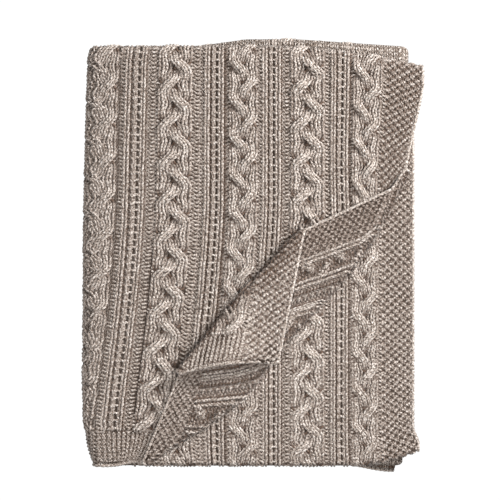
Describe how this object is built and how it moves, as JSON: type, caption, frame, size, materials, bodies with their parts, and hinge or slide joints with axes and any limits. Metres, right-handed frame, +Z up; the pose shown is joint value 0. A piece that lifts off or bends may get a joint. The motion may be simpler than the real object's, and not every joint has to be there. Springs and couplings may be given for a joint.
{
  "type": "folded knit blanket",
  "caption": "Chunky cable-knit throw in heathered taupe, folded flat into a stack with one corner turned back in a diagonal pleat",
  "frame": {"origin": "on the flat underside, at the centre of the folded stack's plan", "axes": "+Z up out of the stack, +Y along its longer side to the end with the top layer's fold, +X to the side with the cloth's open edges"},
  "size_m": [0.4337, 0.5483, 0.0738],
  "materials": {
    "knit_wool": "soft matt heathered yarn"
  },
  "bodies": {
    "root": {"blanket": "knit_wool"}
  },
  "joints": []
}
